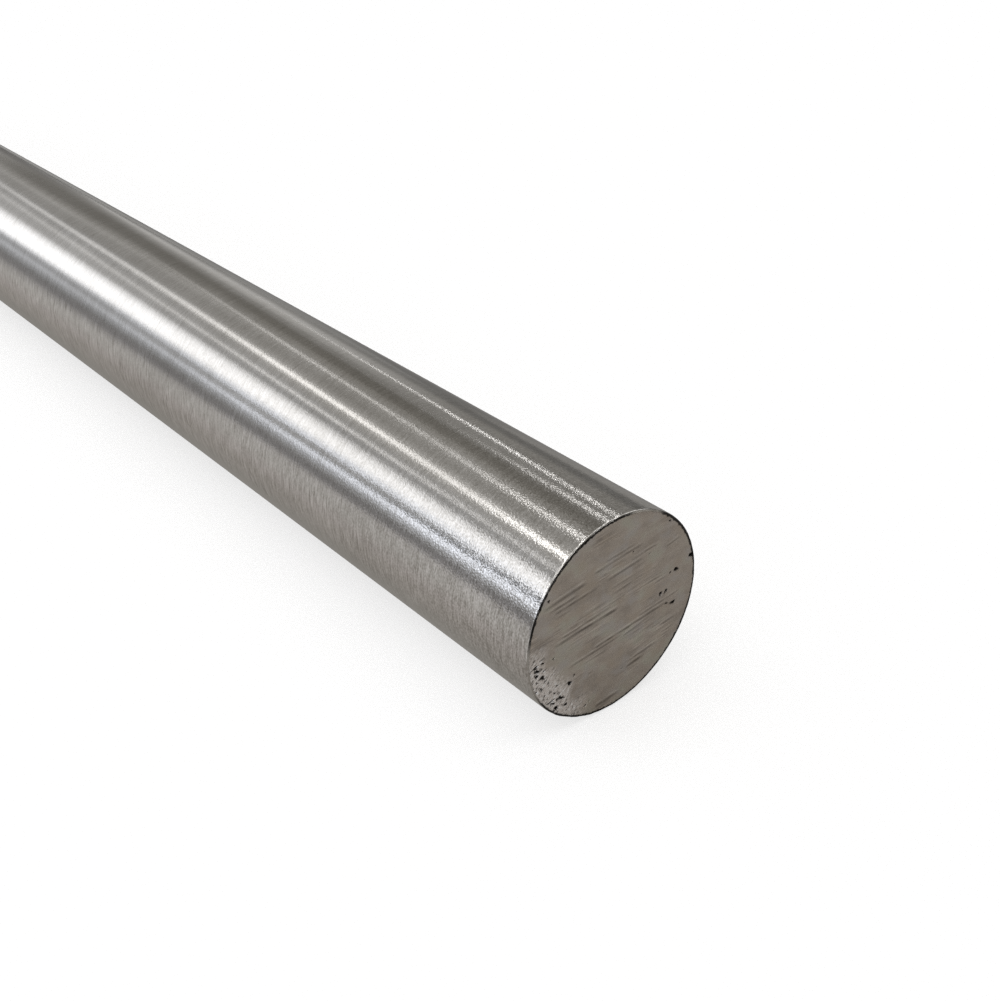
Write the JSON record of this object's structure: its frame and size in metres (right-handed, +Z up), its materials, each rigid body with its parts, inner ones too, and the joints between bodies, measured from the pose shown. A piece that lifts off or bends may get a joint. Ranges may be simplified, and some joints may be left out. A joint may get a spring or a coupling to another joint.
{
  "type": "stainless steel round bar",
  "caption": "Solid round bar of ground stainless steel with plain sawn ends; raw stock to be cut, machined, clamped or welded.",
  "frame": {"origin": "on the bar axis, at the middle of its length", "axes": "+X along the bar's axis towards the end that the picture shows; +Z up; the bar lies on its side, and its lowest line, which rests on the floor, is at Z = -12.5 mm"},
  "size_m": [0.3, 0.025, 0.025],
  "materials": {
    "ground_stainless": "bright ground round surface with fine marks running round the bar, and bare sawn end faces"
  },
  "bodies": {
    "root": {"round_bar": "ground_stainless"}
  },
  "joints": []
}
